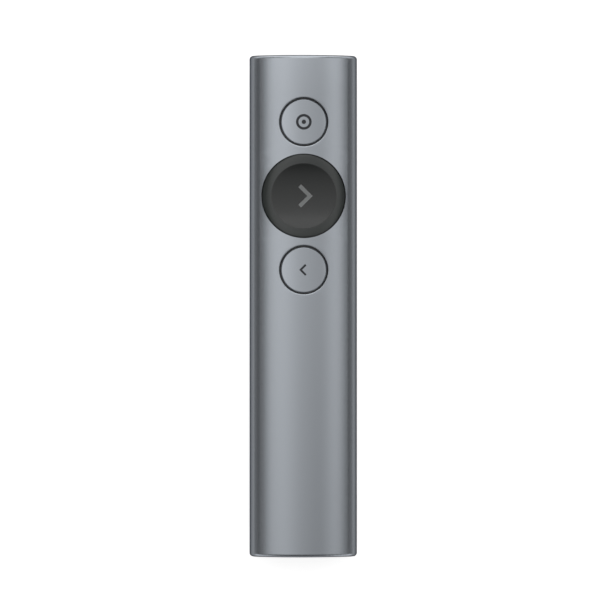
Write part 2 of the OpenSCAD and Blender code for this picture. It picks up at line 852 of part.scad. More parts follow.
module sleeve_screws() {
    color(steel_colour) for (side = [-1, 1]) translate([side * sleeve_screw_x, 0, sleeve_screw_z]) {
        lengthwise(screw_d, bay_floor_y + sleeve_head_t, bay_back_y + sleeve_screw_reach);
        lengthwise(screw_head_d, bay_floor_y + sleeve_head_t - screw_head_t, bay_floor_y + sleeve_head_t);
    }
}

// ---- Receiver ----

module receiver_body() {
    difference() {
        oval_bar(rx_w, rx_h, crown_slope, tail_y, rx_end_y, rx_round);
        along_y(end_cap_y, rx_end_y - rx_front_wall) receiver_oval(rx_wall);
        along_y(plug_inner_y, rx_end_y + cut) round_rect(plug_w, plug_h, plug_round);
    }
}

module receiver_top_shell() {
    color(black_colour) intersection() {
        receiver_body();
        block(body_w, end_cap_y, rx_end_y + cut, mid_z, body_h);
    }
}

module receiver_bottom_shell() {
    color(black_colour) {
        intersection() {
            receiver_body();
            block(body_w, end_cap_y, rx_end_y + cut, 0, mid_z);
        }
        // Ribs that carry the receiver's board
        for (side = [-1, 1]) translate([side * rx_board_w / 3, 0, 0])
            block(rx_wall, rx_board_y0 + rx_rib_inset, plug_inner_y - rx_rib_inset,
                mid_z - rx_h / 2 + rx_wall / 2, rx_board_low);
    }
}

module receiver_end_cap() {
    color(black_colour) difference() {
        intersection() {
            oval_bar(rx_w, rx_h, crown_slope, tail_y, rx_end_y, rx_round);
            block(body_w, tail_y - cut, end_cap_y, 0, body_h);
        }
        along_y(tail_y - cut, tail_y + grip_depth) stadium(grip_w, grip_h);
    }
}

module receiver_board() {
    color(board_colour) block(rx_board_w, rx_board_y0, plug_inner_y, rx_board_low, rx_board_top);
}

module receiver_chip() {
    color(black_colour) board_part(rx_chip_size, 0, rx_chip_y, rx_board_top);
}

module receiver_crystal() {
    y = rx_chip_y - rx_chip_size[1] / 2 - rx_crystal_gap - rx_crystal_size[1] / 2;
    color(steel_colour) board_part(rx_crystal_size, 0, y, rx_board_top);
}

module plug_shell() {
    window_y1 = plug_tip_y - plug_window_back;
    color(steel_colour) difference() {
        along_y(plug_inner_y, plug_tip_y) round_rect(plug_w, plug_h, plug_round);
        along_y(plug_inner_y - cut, plug_tip_y + cut) plug_bore();
        for (side = [-1, 1]) translate([side * plug_window_x, 0, 0])
            block(plug_window_w, window_y1 - plug_window_len, window_y1, mid_z - plug_h, mid_z + plug_h);
    }
}

module plug_bore() { round_rect(plug_w - 2 * plug_t, plug_h - 2 * plug_t, plug_round - plug_t); }

module plug_tongue() {
    inner_w = plug_w - 2 * plug_t;
    inner_low = mid_z - plug_h / 2 + plug_t;
    color(black_colour) intersection() {
        along_y(plug_inner_y, plug_tip_y) plug_bore();
        union() {
            block(inner_w, plug_inner_y, plug_inner_y + plug_base_len,
                inner_low, mid_z + plug_h / 2 - plug_t);
            block(inner_w, plug_inner_y + plug_base_len - cut, plug_tip_y - plug_lip,
                inner_low, inner_low + plug_tongue_t);
        }
    }
}

module plug_contacts() {
    contact_z = mid_z - plug_h / 2 + plug_t + plug_tongue_t;
    color(gold_colour) for (x = contact_xs) translate([x, 0, 0])
        block(contact_w, plug_inner_y + plug_base_len, plug_tip_y - contact_tip_gap,
            contact_z, contact_z + contact_t);
}

housing_tube();
nose_cap();
light_pipe();
status_led();
chassis();
button_frame();
frame_screws();
main_board();
pointer_button();
pointer_plunger();
pointer_switch();
next_button();
next_plunger();
next_switch();
back_button();
back_plunger();
back_switch();
battery();
battery_pad();
battery_leads();
battery_connector();
vibration_motor();
motor_pad();
motor_leads();
radio_chip();
radio_crystal();
motion_sensor();
antenna();
charger_shield();
charger_coil();
usb_c_shell();
usb_c_tongue();
tail_sleeve();
sleeve_screws();
receiver_top_shell();
receiver_bottom_shell();
receiver_end_cap();
receiver_board();
receiver_chip();
receiver_crystal();
plug_shell();
plug_tongue();
plug_contacts();
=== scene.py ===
"""Dresses the wireless presentation clicker: an anodised oval tube with three round buttons and, in its tail,
a radio receiver. X runs across it, Y along it towards the nose, and Z up. Pieces are made in millimetres, and
settle() brings each one to metres."""

import json
import math

import bmesh
import bpy
from mathutils import Matrix, Vector


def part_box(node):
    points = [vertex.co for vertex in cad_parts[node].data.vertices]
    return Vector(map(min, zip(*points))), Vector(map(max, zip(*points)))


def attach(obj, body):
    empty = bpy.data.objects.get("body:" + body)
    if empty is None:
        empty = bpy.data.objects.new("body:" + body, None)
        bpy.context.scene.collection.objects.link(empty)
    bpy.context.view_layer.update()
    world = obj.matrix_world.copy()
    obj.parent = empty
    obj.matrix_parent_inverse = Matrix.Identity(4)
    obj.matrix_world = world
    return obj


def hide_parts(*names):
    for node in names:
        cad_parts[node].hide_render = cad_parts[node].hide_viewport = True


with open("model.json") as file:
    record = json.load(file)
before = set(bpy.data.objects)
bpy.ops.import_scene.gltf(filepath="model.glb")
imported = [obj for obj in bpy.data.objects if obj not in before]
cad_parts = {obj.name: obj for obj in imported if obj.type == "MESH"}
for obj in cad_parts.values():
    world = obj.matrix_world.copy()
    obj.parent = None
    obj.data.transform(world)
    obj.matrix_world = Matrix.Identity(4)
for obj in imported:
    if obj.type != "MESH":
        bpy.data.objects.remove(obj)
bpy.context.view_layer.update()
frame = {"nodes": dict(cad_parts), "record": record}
MM = 0.001


def corners(node):
    """Lowest and highest corner of a solid, in millimetres."""
    low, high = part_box(node)
    return low / MM, high / MM


def centre(node):
    low, high = corners(node)
    return (low + high) / 2


def half_length(node):
    low, high = corners(node)
    return (high.y - low.y) / 2


# ---- Sizes, worked out from the solids where they show them ----

tube_low, tube_high = corners("housing_tube")
BODY_W = tube_high.x - tube_low.x
BODY_H = tube_high.z
TAIL_Y = tube_low.y
NOSE_Y = tube_high.y
MID_Z = BODY_H / 2
WALL = 1.1
END_ROUND = 0.9
INNER_CHAMFER = 0.15
HOLE_BEVEL = 0.3
CAP_BEVEL = 0.15
SMALL_GAP = 0.4
NEXT_GAP = 0.25
# A button's flange: how far it reaches past the hole, its gap to the tube's wall and its thickness
FLANGE_LIP = 0.75
FLANGE_GAP = 0.1
FLANGE_THICK = 0.9
# Depths of its upper and lower face below the crown
FLANGE_TOP = WALL + FLANGE_GAP
FLANGE_LOW = FLANGE_TOP + FLANGE_THICK
PEG_D = 1.6
POST_D = 3.0
DISH_R = 8.45
# Width of the ring between the dish and the place where the rim starts to fall
RIM_LAND = 0.15
RIM_START = DISH_R + RIM_LAND
RIM_FALL = 0.1
# How many times lighter the rim's colour is than the dish's: a painted sheen
RIM_SHEEN = 2.4

# Slopes at which the arcs of an oval meet: run, rise and length of a right-angled triangle
CROWN_SLOPE = (5, 12, 13)
BELLY_SLOPE = (8, 15, 17)

POINTER_Y = centre("pointer_button").y
NEXT_Y = centre("next_button").y
BACK_Y = centre("back_button").y

SMALL_FLANGE_R = half_length("pointer_button")
SMALL_HOLE_R = SMALL_FLANGE_R - FLANGE_LIP
SMALL_CAP_R = SMALL_HOLE_R - SMALL_GAP
NEXT_FLANGE_R = half_length("next_button")
NEXT_HOLE_R = NEXT_FLANGE_R - FLANGE_LIP
NEXT_CAP_R = NEXT_HOLE_R - NEXT_GAP


# ---- The housing's oval ----

class Oval:
    """Section of two long arcs and two edge arcs, with its belly planed off flat at the nominal height."""

    def __init__(self, width, height, belly_slope=BELLY_SLOPE):
        run, rise, length = CROWN_SLOPE
        lean = (length - rise) / run
        self.height = height
        self.edge_r = (height / 2 - lean * width / 2) / (1 - lean)
        self.reach = width / 2 - self.edge_r
        self.crown_r = self.reach * length / run + self.edge_r
        self.crown_sink = self.reach * rise / run
        self.up = math.atan2(rise, run)
        run, rise, length = belly_slope
        self.belly_r = self.reach * length / run + self.edge_r
        self.belly_sink = self.reach * rise / run
        self.down = math.atan2(rise, run)

    def crown_z(self, x, depth=0.0):
        """Height at x of the surface at a depth below the crown."""
        return MID_Z - self.crown_sink + math.sqrt((self.crown_r - depth) ** 2 - x * x)

    def section(self, inset, crown_steps, edge_steps, belly_steps):
        """Points of the section, anticlockwise from the lower end of the right-hand edge."""
        up, down, turn = self.up, self.down, math.pi
        arcs = (
            (self.reach, 0, self.edge_r, -down, up, edge_steps),
            (0, -self.crown_sink, self.crown_r, up, turn - up, crown_steps),
            (-self.reach, 0, self.edge_r, turn - up, turn + down, edge_steps),
            (0, self.belly_sink, self.belly_r, turn + down, 2 * turn - down, belly_steps),
        )
        points = []
        for x, z, radius, start, end, steps in arcs:
            for k in range(steps):
                angle = start + (end - start) * k / steps
                px = x + (radius - inset) * math.cos(angle)
                pz = z + (radius - inset) * math.sin(angle)
                points.append((px, max(pz, inset - self.height / 2)))
        return points


HOUSING = Oval(BODY_W, BODY_H)
DISH_DEPTH = HOUSING.crown_r - math.sqrt(HOUSING.crown_r ** 2 - DISH_R ** 2)


# ---- Mesh helpers ----

EDGE_STEPS = 8
CORNER_STEPS = 12
# How far a cutter reaches past what it cuts, and a sign hangs over its cap before it is laid down
CLEAR = 1.0
# Points closer together than this become one, in a finished mesh and in a node tree
DOUBLE = 1e-5
MERGE = 1e-4
# Edges shorter than this are dissolved after a cut
SLIVER = 0.001


def new_piece(name, mesh):
    piece = bpy.data.objects.new(name, mesh)
    bpy.context.scene.collection.objects.link(piece)
    return piece


def clean(bm):
    """Merges doubles and turns the faces outwards."""
    bmesh.ops.remove_doubles(bm, verts=bm.verts, dist=DOUBLE)
    bmesh.ops.recalc_face_normals(bm, faces=bm.faces)


def finish_mesh(bm, name):
    clean(bm)
    mesh = bpy.data.meshes.new(name)
    bm.to_mesh(mesh)
    bm.free()
    return mesh


def join_rings(bm, rings):
    for ring, following in zip(rings, rings[1:]):
        count = len(ring)
        for i in range(count):
            j = (i + 1) % count
            bm.faces.new((ring[i], ring[j], following[j], following[i]))


def bake(piece):
    """Turns a piece with modifiers into a plain mesh."""
    depsgraph = bpy.context.evaluated_depsgraph_get()
    result = bpy.data.meshes.new_from_object(piece.evaluated_get(depsgraph))
    piece.modifiers.clear()
    piece.data = result


def boolean(piece, other, operation):
    """Applies one closed solid to another, removes the second and clears the slivers along the cut."""
    modifier = piece.modifiers.new("fit", "BOOLEAN")
    modifier.operation = operation
    modifier.solver = "MANIFOLD"
    modifier.object = other
    bake(piece)
    bpy.data.objects.remove(other)
    bm = bmesh.new()
    bm.from_mesh(piece.data)
    bmesh.ops.triangulate(bm, faces=[face for face in bm.faces if len(face.verts) > 4])
    bmesh.ops.dissolve_degenerate(bm, edges=bm.edges, dist=SLIVER)
    bm.to_mesh(piece.data)
    bm.free()


def end_stations(y, inward, radius):
    """Stations of a rounded end, from the skin to the face. A station gives a place along the body and how
    far its ring lies inside the section."""
    angles = [math.pi / 2 * k / EDGE_STEPS for k in range(EDGE_STEPS + 1)]
    return [(y + inward * radius * (1 - math.sin(a)), radius * (1 - math.cos(a))) for a in angles]


def bar_stations(low_y, high_y, low_round, high_round):
    return end_stations(low_y, 1, low_round)[::-1] + end_stations(high_y, -1, high_round)


def round_section(width, height, radius):
    """Rectangle with round corners, as a function of the inset."""
    def section(inset):
        points = []
        for quarter, (sx, sz) in enumerate(((1, 1), (-1, 1), (-1, -1), (1, -1))):
            for k in range(CORNER_STEPS + 1):
                angle = math.pi / 2 * (quarter + k / CORNER_STEPS)
                x = sx * (width / 2 - radius) + (radius - inset) * math.cos(angle)
                points.append((x, sz * (height / 2 - radius) + (radius - inset) * math.sin(angle)))
        return points
    return section


def loft(name, rings):
    """Closed solid through rings of points."""
    bm = bmesh.new()
    made = [[bm.verts.new(point) for point in ring] for ring in rings]
    join_rings(bm, made)
    bm.faces.new(made[0])
    bm.faces.new(made[-1])
    return new_piece(name, finish_mesh(bm, name))


def bar(name, section, stations, middle_z=MID_Z):
    """Solid along the body."""
    return loft(name, [[(x, y, middle_z + z) for x, z in section(inset)] for y, inset in stations])


def upright_bar(name, section, x, y, low_z, high_z):
    return loft(name, [[(x + dx, y + dy, z) for dx, dy in section(0)] for z in (low_z, high_z)])


def block(low, high):
    ring = [(low[0], low[1]), (high[0], low[1]), (high[0], high[1]), (low[0], high[1])]
    return loft("block", [[(x, y, z) for x, y in ring] for z in (low[2], high[2])])


def outward(piece):
    bm = bmesh.new()
    bm.from_mesh(piece.data)
    clean(bm)
    bm.to_mesh(piece.data)
    bm.free()


# ---- Node helpers ----

def put(tree, socket, value):
    """Links a socket to another one, or sets it to a plain value."""
    if isinstance(value, bpy.types.NodeSocket):
        tree.links.new(value, socket)
    else:
        socket.default_value = value


def shader_sum(tree, operation, first, second):
    """Adds a sum to a shader tree and returns its result."""
    node = tree.nodes.new("ShaderNodeMath")
    node.operation = operation
    put(tree, node.inputs[0], first)
    put(tree, node.inputs[1], second)
    return node.outputs[0]


class Tree:
    """A geometry node tree with short ways to add inputs, nodes and sums."""

    def __init__(self, name, **sizes):
        self.tree = bpy.data.node_groups.new(name, "GeometryNodeTree")
        face = self.tree.interface
        face.new_socket("Geometry", in_out="INPUT", socket_type="NodeSocketGeometry")
        for label, kind in sizes.items():
            face.new_socket(label.replace("_", " "), in_out="INPUT", socket_type="NodeSocket" + kind)
        face.new_socket("Finish", in_out="INPUT", socket_type="NodeSocketMaterial")
        face.new_socket("Geometry", in_out="OUTPUT", socket_type="NodeSocketGeometry")
        self.inputs = self.tree.nodes.new("NodeGroupInput").outputs
        self.result = self.tree.nodes.new("NodeGroupOutput").inputs[0]

    def put(self, socket, value):
        put(self.tree, socket, value)

    def add(self, kind, *values, **settings):
        """Adds a node with its settings and its first inputs. None leaves an input as it is."""
        node = self.tree.nodes.new(kind)
        for setting, value in settings.items():
            setattr(node, setting, value)
        for socket, value in zip(node.inputs, values):
            if value is not None:
                self.put(socket, value)
        return node

    def sum(self, operation, *values):
        return self.add("ShaderNodeMath", *values, operation=operation).outputs[0]

    def split(self, vector):
        return self.add("ShaderNodeSeparateXYZ", vector).outputs

    def vector(self, x, y, z):
        return self.add("ShaderNodeCombineXYZ", x, y, z).outputs[0]

    def end(self, geometry):
        """Closes the tree with its two last nodes."""
        real = self.add("GeometryNodeRealizeInstances", geometry).outputs[0]
        finished = self.add("GeometryNodeSetMaterial", real)
        self.put(finished.inputs["Material"], self.inputs["Finish"])
        self.put(self.result, finished.outputs[0])
        return self.tree


def run_tree(piece, tree, **values):
    """Puts a tree on a piece, sets its inputs by their identifiers and turns the result into a plain mesh."""
    modifier = piece.modifiers.new(tree.name, "NODES")
    modifier.node_group = tree
    for item in tree.interface.items_tree:
        label = item.name.replace(" ", "_")
        if item.in_out == "INPUT" and label in values:
            modifier[item.identifier] = values[label]
    bake(piece)
    outward(piece)


# ---- Materials ----

def principled(name, colour, metallic=0.0, roughness=0.5):
    material = bpy.data.materials.new(name)
    material.use_nodes = True
    shader = material.node_tree.nodes["Principled BSDF"]
    shader.inputs["Base Color"].default_value = (*colour, 1)
    shader.inputs["Metallic"].default_value = metallic
    shader.inputs["Roughness"].default_value = roughness
    return material


def grain(material, size, depth, roughness_low, roughness_high, tint=0.03):
    """Fine grain on object coordinates: bump, a spread of roughness and a slight spread of the colour's
    value. Size and depth are in millimetres."""
    nodes, links = material.node_tree.nodes, material.node_tree.links
    shader = nodes["Principled BSDF"]
    place = nodes.new("ShaderNodeTexCoord")
    noise = nodes.new("ShaderNodeTexNoise")
    noise.inputs["Scale"].default_value = 1 / (size * MM)
    noise.inputs["Detail"].default_value = 2
    links.new(place.outputs["Object"], noise.inputs["Vector"])
    bump = nodes.new("ShaderNodeBump")
    bump.inputs["Strength"].default_value = 1
    bump.inputs["Distance"].default_value = depth * MM
    links.new(noise.outputs["Fac"], bump.inputs["Height"])
    links.new(bump.outputs["Normal"], shader.inputs["Normal"])
    spread = nodes.new("ShaderNodeMapRange")
    spread.inputs["To Min"].default_value = roughness_low
    spread.inputs["To Max"].default_value = roughness_high
    links.new(noise.outputs["Fac"], spread.inputs["Value"])
    links.new(spread.outputs["Result"], shader.inputs["Roughness"])
    value = nodes.new("ShaderNodeMapRange")
    value.inputs["To Min"].default_value = 1 - tint
    value.inputs["To Max"].default_value = 1 + tint
    links.new(noise.outputs["Fac"], value.inputs["Value"])
    shade = nodes.new("ShaderNodeHueSaturation")
    shade.inputs["Color"].default_value = shader.inputs["Base Color"].default_value
    links.new(value.outputs["Result"], shade.inputs["Value"])
    links.new(shade.outputs["Color"], shader.inputs["Base Color"])
    return material


def anodised_shaded_edges(name):
    """Dyed aluminium. A dark specular tint dims its reflection at a grazing angle, as painted shade on the
    edges, which reflect the floor beside the body.
    """
    material = principled(name, (0.30, 0.32, 0.345), metallic=1.0)
    # Dark specular tint: painted shade at a grazing angle
    material.node_tree.nodes["Principled BSDF"].inputs["Specular Tint"].default_value = (0.08, 0.08, 0.08, 1)
    return material


def paint_rim_sheen(material):
    """Paints a sheen round the thumb dish: the rim's colour is lifted above the dish's, as a painted
    highlight where the rim catches the light.
    """
    tree = material.node_tree
    nodes, links = tree.nodes, tree.links
    place = nodes.new("ShaderNodeTexCoord")
    flat = nodes.new("ShaderNodeVectorMath")
    flat.operation = "MULTIPLY"
    links.new(place.outputs["Object"], flat.inputs[0])
    flat.inputs[1].default_value = (1, 1, 0)
    away = nodes.new("ShaderNodeVectorMath")
    away.operation = "DISTANCE"
    links.new(flat.outputs["Vector"], away.inputs[0])
    away.inputs[1].default_value = (0, NEXT_Y * MM, 0)
    rim_sheen = nodes.new("ShaderNodeMapRange")
    rim_sheen.inputs["From Min"].default_value = DISH_R * MM
    rim_sheen.inputs["From Max"].default_value = RIM_START * MM
    rim_sheen.inputs["To Min"].default_value = 1
    rim_sheen.inputs["To Max"].default_value = RIM_SHEEN
    links.new(away.outputs["Value"], rim_sheen.inputs["Value"])
    value = nodes["Hue/Saturation/Value"].inputs["Value"]
    spread = value.links[0].from_socket
    links.new(shader_sum(tree, "MULTIPLY", spread, rim_sheen.outputs["Result"]), value)
    return material


# Both alloys carry the painted edge shade of the dark specular tint
alloy = grain(anodised_shaded_edges("alloy"), 0.12, 0.0010, 0.22, 0.28)
alloy_cap = grain(anodised_shaded_edges("alloy_cap"), 0.10, 0.0006, 0.11, 0.17)
# soft_black carries a painted highlight on the middle button's rim
soft_black = paint_rim_sheen(grain(principled("soft_black", (0.0075, 0.009, 0.0085)), 0.09, 0.0010, 0.22, 0.28))
dark_plastic = grain(principled("dark_plastic", (0.030, 0.031, 0.033)), 0.15, 0.004, 0.45, 0.6)
black_plastic = grain(principled("black_plastic", (0.020, 0.020, 0.022)), 0.2, 0.004, 0.4, 0.55)
moulded_grey = grain(principled("moulded_grey", (0.105, 0.108, 0.113)), 0.2, 0.004, 0.4, 0.55)
print_dark = grain(principled("print_dark", (0.008, 0.010, 0.014)), 0.06, 0.001, 0.5, 0.65)
print_grey = grain(principled("print_grey", (0.155, 0.161, 0.161)), 0.06, 0.001, 0.5, 0.65)
clear_plastic = grain(principled("clear_plastic", (0.85, 0.87, 0.88)), 0.4, 0.002, 0.2, 0.3)
led_body = grain(principled("led_body", (0.85, 0.83, 0.72)), 0.3, 0.002, 0.25, 0.4)
board_green = grain(principled("board_green", (0.02, 0.16, 0.07)), 0.5, 0.004, 0.3, 0.45)
steel = grain(principled("steel", (0.62, 0.62, 0.63), metallic=1.0), 0.15, 0.002, 0.25, 0.4)
plated_steel = grain(principled("plated_steel", (0.72, 0.72, 0.73), metallic=1.0), 0.5, 0.002, 0.12, 0.22)
gold = grain(principled("gold", (0.83, 0.66, 0.32), metallic=1.0), 0.2, 0.001, 0.2, 0.3)
foil = grain(principled("foil", (0.68, 0.69, 0.71), metallic=1.0), 0.8, 0.02, 0.3, 0.5)
foam = grain(principled("foam", (0.12, 0.12, 0.12)), 0.4, 0.05, 0.85, 1.0)
wire = grain(principled("wire", (0.35, 0.03, 0.03)), 0.3, 0.003, 0.4, 0.55)
connector = grain(principled("connector", (0.75, 0.72, 0.62)), 0.2, 0.003, 0.4, 0.55)
chip = grain(principled("chip", (0.03, 0.03, 0.03)), 0.1, 0.003, 0.5, 0.65)

SLOT_MATERIAL = {
    "alloy": alloy, "alloy_cap": alloy_cap, "soft_black": soft_black, "dark_plastic": dark_plastic,
    "black_plastic": black_plastic, "clear_plastic": clear_plastic, "led_body": led_body,
    "board": board_green, "steel": steel, "plated_steel": plated_steel, "gold": gold, "foil": foil,
    "foam": foam, "wire": wire, "connector": connector, "chip": chip,
}
NODE_SLOT = {part["node"]: part["material_slot"] for part in frame["record"]["subparts"]}
# Edges that turn by more degrees than this are sharp. The buttons' caps have angles of their own
SHARP_ANGLE = 28
SMALL_SHARP_ANGLE = 20
NEXT_SHARP_ANGLE = 30

for node, solid in frame["nodes"].items():
    for index in range(len(solid.material_slots)):
        solid.material_slots[index].material = SLOT_MATERIAL[NODE_SLOT[node]]


def settle(piece, body, slot, material=None, replaces=(), sharp_angle=SHARP_ANGLE):
    """Brings a finished piece to metres and gives it its finish, its body and the solids it stands for."""
    piece.data.transform(Matrix.Scale(MM, 4))
    piece.data.shade_smooth()
    piece.data.set_sharp_from_angle(angle=math.radians(sharp_angle))
    piece.data.materials.clear()
    piece.data.materials.append(material or SLOT_MATERIAL[slot])
    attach(piece, body)
    if replaces:
        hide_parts(*replaces)


# ---- Housing tube ----

TUBE_STEPS = {"crown_steps": 112, "edge_steps": 22, "belly_steps": 64}
# Where the rings round a hole lie between the patch's border and the hole
RING_SHARES = (0.35, 0.7, 1.0)
SMALL_HOLE = {"radius": SMALL_HOLE_R, "bevel": HOLE_BEVEL, "margin": 0.75, "steps": 40}
NEXT_HOLE = {"radius": NEXT_HOLE_R, "bevel": 0.0, "margin": 0.35, "steps": 64}


class Hole:
    """Round hole through the crown. Round it a square patch of the tube's grid gives way to rings."""

    def __init__(self, y, radius, bevel, margin, steps):
        self.y = y
        self.radius = radius
        self.bevel = bevel
        first, count = TUBE_STEPS["edge_steps"], TUBE_STEPS["crown_steps"]
        crown = [x for x, z in HOUSING.section(0, **TUBE_STEPS)[first:first + count]]
        nearest = max(k for k, x in enumerate(crown) if x >= radius + margin)
        self.first_column = first + nearest
        self.last_column = first + count - nearest
        half = crown[nearest]
        self.rows = [y + half * (2 * k / steps - 1) for k in range(steps + 1)]


def crown_vertex(bm, x, y, depth):
    return bm.verts.new((x, y, HOUSING.crown_z(x, depth)))


def lay_skin(bm, depth, first_y, last_y, holes):
    """Grid of quads round the section at a depth below the skin, with rings of vertices round each hole.
    Returns its first and last ring and the innermost ring at each hole."""
    section = HOUSING.section(depth, **TUBE_STEPS)
    stations = [first_y] + [y for hole in holes for y in hole.rows] + [last_y]
    grid = [[bm.verts.new((x, y, MID_Z + z)) for x, z in section] for y in stations]
    open_cells = set()
    hole_rings = []
    low = 1
    for hole in holes:
        high = low + len(hole.rows) - 1
        left, right = hole.first_column, hole.last_column
        open_cells.update((r, c) for r in range(low, high) for c in range(left, right))
        border = [grid[low][c] for c in range(left, right)] + [grid[r][right] for r in range(low, high)]
        border += [grid[high][c] for c in range(right, left, -1)]
        border += [grid[r][left] for r in range(high, low, -1)]
        radius = hole.radius + (hole.bevel if depth == 0 else 0)
        rings = [border]
        for share in RING_SHARES:
            ring = []
            for vertex in border:
                x, dy = vertex.co.x, vertex.co.y - hole.y
                pull = 1 + share * (radius / math.hypot(x, dy) - 1)
                ring.append(crown_vertex(bm, x * pull, hole.y + dy * pull, depth))
            rings.append(ring)
        join_rings(bm, rings)
        hole_rings.append(rings[-1])
        low = high + 1
    for r in range(len(grid) - 1):
        for c in range(len(section)):
            if (r, c) not in open_cells:
                d = (c + 1) % len(section)
                bm.faces.new((grid[r][c], grid[r][d], grid[r + 1][d], grid[r + 1][c]))
    return grid[0], grid[-1], hole_rings


def line_hole(bm, hole, skin_ring, inner_ring):
    """Rounded edge and wall of a hole, from its ring in the skin to its ring in the inner face."""
    rings = [skin_ring]
    steps = EDGE_STEPS if hole.bevel else 0
    for k in range(1, steps + 1):
        angle = math.pi / 2 * k / EDGE_STEPS
        radius = hole.radius + hole.bevel * (1 - math.sin(angle))
        pull = radius / (hole.radius + hole.bevel)
        depth = hole.bevel * (1 - math.cos(angle))
        rings.append([
            crown_vertex(bm, vertex.co.x * pull, hole.y + (vertex.co.y - hole.y) * pull, depth)
            for vertex in skin_ring
        ])
    for vertex, above in zip(inner_ring, rings[-1]):
        vertex.co = (above.co.x, above.co.y, HOUSING.crown_z(above.co.x, WALL))
    join_rings(bm, rings + [inner_ring])


def section_ring(bm, inset, y):
    return [bm.verts.new((x, y, MID_Z + z)) for x, z in HOUSING.section(inset, **TUBE_STEPS)]


def make_tube():
    holes = [Hole(BACK_Y, **SMALL_HOLE), Hole(NEXT_Y, **NEXT_HOLE), Hole(POINTER_Y, **SMALL_HOLE)]
    bm = bmesh.new()
    skin = lay_skin(bm, 0, TAIL_Y + END_ROUND, NOSE_Y - END_ROUND, holes)
    inner = lay_skin(bm, WALL, TAIL_Y + INNER_CHAMFER, NOSE_Y - INNER_CHAMFER, holes)
    for end, end_y, inward in ((0, TAIL_Y, 1), (1, NOSE_Y, -1)):
        rim = end_stations(end_y, inward, END_ROUND)[1:] + [(end_y, WALL - INNER_CHAMFER)]
        rings = [skin[end]] + [section_ring(bm, inset, y) for y, inset in rim]
        join_rings(bm, rings + [inner[end]])
    for hole, skin_ring, inner_ring in zip(holes, skin[2], inner[2]):
        line_hole(bm, hole, skin_ring, inner_ring)
    unused = [vertex for vertex in bm.verts if not vertex.link_faces]
    bmesh.ops.delete(bm, geom=unused, context="VERTS")
    tube = new_piece("tube", finish_mesh(bm, "tube"))
    settle(tube, "casing", "alloy", replaces=["housing_tube"])


# ---- Buttons ----

SMALL_TURN_STEPS = 192
NEXT_TURN_STEPS = 256
PEG_SIDES = 40
# Rings of faces between the axis and the edge, on a small button's top, its underside and its flange
SMALL_TOP_RINGS = 14
SMALL_UNDER_RINGS = 6
SMALL_FLANGE_RINGS = 7
# The same on the middle button, whose underside has them up to a share of the flange's radius
NEXT_TOP_RINGS = 22
NEXT_UNDER_RINGS = 6
NEXT_UNDER_SHARE = 0.9
NEXT_EDGE_STEPS = 6
# How far a peg reaches into what it hangs from
SMALL_PEG_ROOT = 0.4
NEXT_PEG_ROOT = 0.3
# How much lower the middle button's side pegs start, under the falling crown
NEXT_PEG_DROP = 0.6
# Distances of the side pegs from a button's middle
SMALL_PEG_REACH = 5.4
NEXT_PEG_X = 5.8
NEXT_PEG_Y = 7.6
# Roundings of the buttons' edges
SMALL_EDGE_ROUND = 0.04
NEXT_EDGE_ROUND = 0.12
DISH_EDGE_ROUND = 0.06
# Fine rings on either side of the dish's edge, from this far inside it, and wider ones on the rim
DISH_BAND = 0.5
DISH_RING = 0.04
DISH_RINGS = 17
RIM_RING = 0.1


def turned_tree():
    """Turns a profile round an upright axis and lays every ring of it along the crown. The profile is a line
    of points, with the radius in X and the height above the crown in Z."""
    t = Tree("turned_on_crown", Segments="Int", Middle="Float", Crown_radius="Float", Crown_height="Float")
    profile = t.inputs["Geometry"]
    rows = t.add("GeometryNodeAttributeDomainSize", profile).outputs["Point Count"]
    columns = t.sum("ADD", t.inputs["Segments"], 1)
    grid = t.add("GeometryNodeMeshGrid", 1.0, 1.0, rows, columns).outputs["Mesh"]
    index = t.add("GeometryNodeInputIndex").outputs[0]
    row = t.sum("FLOOR", t.sum("DIVIDE", index, columns))
    column = t.sum("MODULO", index, columns)
    pick = t.add("GeometryNodeSampleIndex", data_type="FLOAT_VECTOR")
    t.put(pick.inputs["Geometry"], profile)
    t.put(pick.inputs["Value"], t.add("GeometryNodeInputPosition").outputs[0])
    t.put(pick.inputs["Index"], row)
    spot = t.split(pick.outputs[0])
    radius, height = spot["X"], spot["Z"]
    angle = t.sum("DIVIDE", t.sum("MULTIPLY", column, 2 * math.pi), t.inputs["Segments"])
    x = t.sum("MULTIPLY", radius, t.sum("COSINE", angle))
    y = t.sum("MULTIPLY_ADD", radius, t.sum("SINE", angle), t.inputs["Middle"])
    crown_r = t.inputs["Crown radius"]
    chord = t.sum("SQRT", t.sum("SUBTRACT", t.sum("MULTIPLY", crown_r, crown_r), t.sum("MULTIPLY", x, x)))
    fall = t.sum("SUBTRACT", crown_r, chord)
    z = t.sum("ADD", height, t.sum("SUBTRACT", t.inputs["Crown height"], fall))
    placed = t.add("GeometryNodeSetPosition", grid, None, t.vector(x, y, z)).outputs[0]
    merged = t.add("GeometryNodeMergeByDistance", placed)
    t.put(merged.inputs["Distance"], MERGE)
    return t.end(merged.outputs[0])


def dish_tree():
    """Presses a thumb dish into a button: the crown's own arc, turned a quarter and upside down."""
    t = Tree("thumb_dish", Middle="Float", Dish_floor="Float", Arc_radius="Float", Edge_round="Float")
    x, y, z = t.split(t.add("GeometryNodeInputPosition").outputs[0])
    arc_r = t.inputs["Arc radius"]
    away = t.sum("SUBTRACT", y, t.inputs["Middle"])
    chord = t.sum("SQRT", t.sum("SUBTRACT", t.sum("MULTIPLY", arc_r, arc_r), t.sum("MULTIPLY", away, away)))
    dish_z = t.sum("ADD", t.inputs["Dish floor"], t.sum("SUBTRACT", arc_r, chord))
    low = t.sum("SMOOTH_MIN", z, dish_z, t.inputs["Edge round"])
    placed = t.add("GeometryNodeSetPosition", t.inputs["Geometry"], None, t.vector(x, y, low)).outputs[0]
    return t.end(placed)


